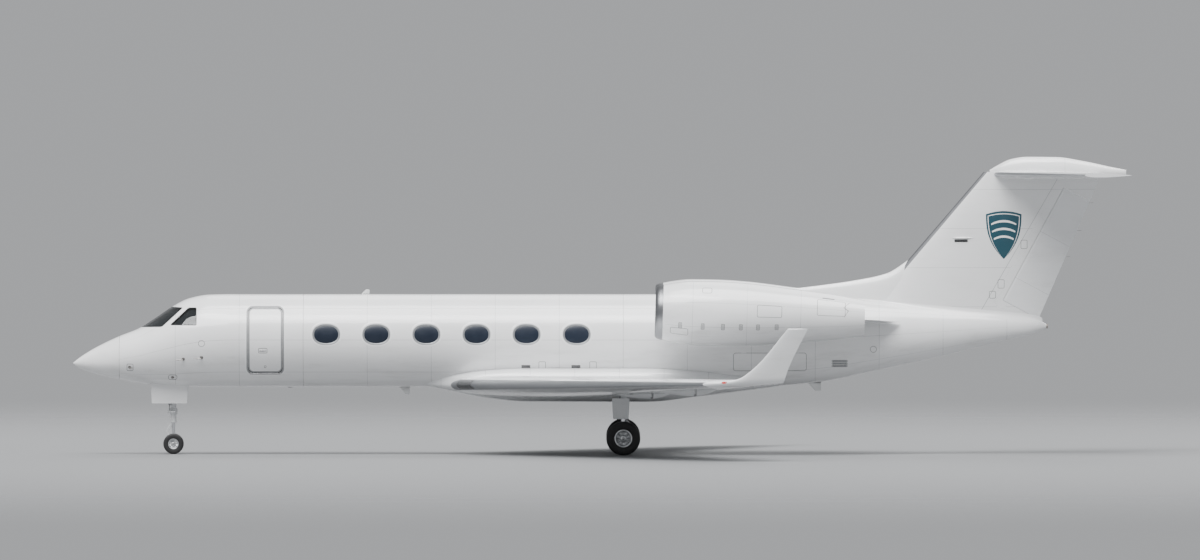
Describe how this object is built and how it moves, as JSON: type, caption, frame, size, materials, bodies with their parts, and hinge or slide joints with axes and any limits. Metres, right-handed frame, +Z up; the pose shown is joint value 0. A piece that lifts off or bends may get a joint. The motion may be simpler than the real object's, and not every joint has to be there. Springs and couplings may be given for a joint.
{
  "type": "business jet",
  "caption": "Large-cabin business jet with a T-tail, rear engines on pylons and swept wings with winglets, parked on its gear; door, wheels, steering, fans and control surfaces move.",
  "frame": {"origin": "on the ground under the middle of the aircraft's length and span", "axes": "+X aft along the fuselage, nose at -X; +Y to starboard; +Z up"},
  "size_m": [27.23, 23.7588, 7.6717],
  "materials": {
    "fuselage_paint": "gloss white paint",
    "wing_paint": "gloss white paint on aluminium",
    "composite_paint": "gloss white paint on composite",
    "windshield_glass": "clear grey",
    "cabin_glass": "dark navy",
    "cabin_floor": "carpeted panel",
    "cabin_trim": "matt dark grey",
    "seat_leather": "cream leather",
    "stair_metal": "satin",
    "engine_steel": "heat-tinted steel",
    "fan_metal": "satin titanium",
    "gear_paint": "gloss light grey enamel",
    "gear_steel": "polished and satin steel",
    "tyre_rubber": "matt black"
  },
  "bodies": {
    "airframe": {"radome": "composite_paint", "fuselage_front": "fuselage_paint", "fuselage_entry": "fuselage_paint", "fuselage_mid": "fuselage_paint", "fuselage_rear": "fuselage_paint", "belly_fairing": "composite_paint", "windshield_left": "windshield_glass", "windshield_right": "windshield_glass", "side_window_left": "windshield_glass", "side_window_right": "windshield_glass", "window_band_left": "cabin_glass", "window_band_right": "cabin_glass", "cabin_floor": "cabin_floor", "flight_deck": "cabin_trim", "seats": "seat_leather", "wing_left": "wing_paint", "wing_right": "wing_paint", "winglet_left": "wing_paint", "winglet_right": "wing_paint", "fin": "wing_paint", "tailplane": "wing_paint", "pylon_left": "wing_paint", "pylon_right": "wing_paint", "engine_cowl_left": "composite_paint", "engine_cowl_right": "composite_paint", "exhaust_nozzle_left": "composite_paint", "exhaust_nozzle_right": "composite_paint", "engine_core_left": "engine_steel", "engine_core_right": "engine_steel", "nose_leg": "gear_paint", "nose_gear_door_left": "wing_paint", "nose_gear_door_right": "wing_paint", "main_leg_left": "gear_paint", "main_leg_right": "gear_paint", "main_piston_left": "gear_steel", "main_piston_right": "gear_steel", "main_gear_door_left": "wing_paint", "main_gear_door_right": "wing_paint"},
    "passenger_door": {"entry_door": "fuselage_paint", "entry_stairs": "stair_metal"},
    "fan_rotor_left": {"fan_left": "fan_metal"},
    "fan_rotor_right": {"fan_right": "fan_metal"},
    "left_aileron": {"aileron_left": "wing_paint"},
    "right_aileron": {"aileron_right": "wing_paint"},
    "left_flap": {"flap_left": "wing_paint"},
    "right_flap": {"flap_right": "wing_paint"},
    "left_elevator": {"elevator_left": "wing_paint"},
    "right_elevator": {"elevator_right": "wing_paint"},
    "rudder_surface": {"rudder": "wing_paint"},
    "nose_steering": {"steer_fork": "gear_steel"},
    "nose_wheels": {"nose_hubs": "gear_steel", "nose_tyre_port": "tyre_rubber", "nose_tyre_starboard": "tyre_rubber"},
    "main_wheels_left": {"main_hubs_left": "gear_steel", "main_tyre_left_port": "tyre_rubber", "main_tyre_left_starboard": "tyre_rubber"},
    "main_wheels_right": {"main_hubs_right": "gear_steel", "main_tyre_right_port": "tyre_rubber", "main_tyre_right_starboard": "tyre_rubber"}
  },
  "joints": [
    {"name": "door_hinge", "type": "hinge", "parent": "airframe", "child": "passenger_door", "pos_m": [-8.642, -0.878, 2.088], "axis": [1, 0, 0], "range_deg": [0, 135]},
    {"name": "fan_spin_left", "type": "hinge", "parent": "airframe", "child": "fan_rotor_left", "pos_m": [1.405, -2.26, 3.69], "axis": [0.9996, 0, -0.0297], "continuous": true},
    {"name": "fan_spin_right", "type": "hinge", "parent": "airframe", "child": "fan_rotor_right", "pos_m": [1.405, 2.26, 3.69], "axis": [0.9996, 0, -0.0297], "continuous": true},
    {"name": "aileron_hinge_left", "type": "hinge", "parent": "airframe", "child": "left_aileron", "pos_m": [3.40528, -9.5215, 1.93447], "axis": [-0.3497, 0.9363, -0.0333], "range_deg": [-15, 15]},
    {"name": "aileron_hinge_right", "type": "hinge", "parent": "airframe", "child": "right_aileron", "pos_m": [3.40528, 9.5215, 1.93447], "axis": [0.3497, 0.9363, 0.0333], "range_deg": [-15, 15]},
    {"name": "flap_hinge_left", "type": "hinge", "parent": "airframe", "child": "left_flap", "pos_m": [1.82648, -4.74221, 1.55257], "axis": [-0.3364, 0.9411, -0.0351], "range_deg": [0, 39]},
    {"name": "flap_hinge_right", "type": "hinge", "parent": "airframe", "child": "right_flap", "pos_m": [1.82648, 4.74221, 1.55257], "axis": [0.3364, 0.9411, 0.0351], "range_deg": [0, 39]},
    {"name": "elevator_hinge_left", "type": "hinge", "parent": "airframe", "child": "left_elevator", "pos_m": [12.65901, -2.52281, 7.22], "axis": [-0.2445, 0.9697, 0], "range_deg": [-24, 13]},
    {"name": "elevator_hinge_right", "type": "hinge", "parent": "airframe", "child": "right_elevator", "pos_m": [12.65901, 2.52281, 7.22], "axis": [0.2445, 0.9697, 0], "range_deg": [-24, 13]},
    {"name": "rudder_hinge", "type": "hinge", "parent": "airframe", "child": "rudder_surface", "pos_m": [11.20274, 0, 5.4094], "axis": [0.4728, 0, 0.8812], "range_deg": [-22, 22]},
    {"name": "nose_steer", "type": "hinge", "parent": "airframe", "child": "nose_steering", "pos_m": [-11.025, 0, 0.86], "axis": [0, 0, 1], "range_deg": [-82, 82]},
    {"name": "nose_wheels_spin", "type": "hinge", "parent": "nose_steering", "child": "nose_wheels", "pos_m": [-11.025, 0, 0.26371], "axis": [0, 1, 0], "continuous": true},
    {"name": "main_wheels_spin_left", "type": "hinge", "parent": "airframe", "child": "main_wheels_left", "pos_m": [0.585, -2.085, 0.43903], "axis": [0, 1, 0], "continuous": true},
    {"name": "main_wheels_spin_right", "type": "hinge", "parent": "airframe", "child": "main_wheels_right", "pos_m": [0.585, 2.085, 0.43903], "axis": [0, 1, 0], "continuous": true}
  ],
  "couplings": [
    {"joint": "aileron_hinge_right", "follows": "aileron_hinge_left", "ratio": -1},
    {"joint": "flap_hinge_right", "follows": "flap_hinge_left", "ratio": 1},
    {"joint": "elevator_hinge_right", "follows": "elevator_hinge_left", "ratio": 1}
  ]
}
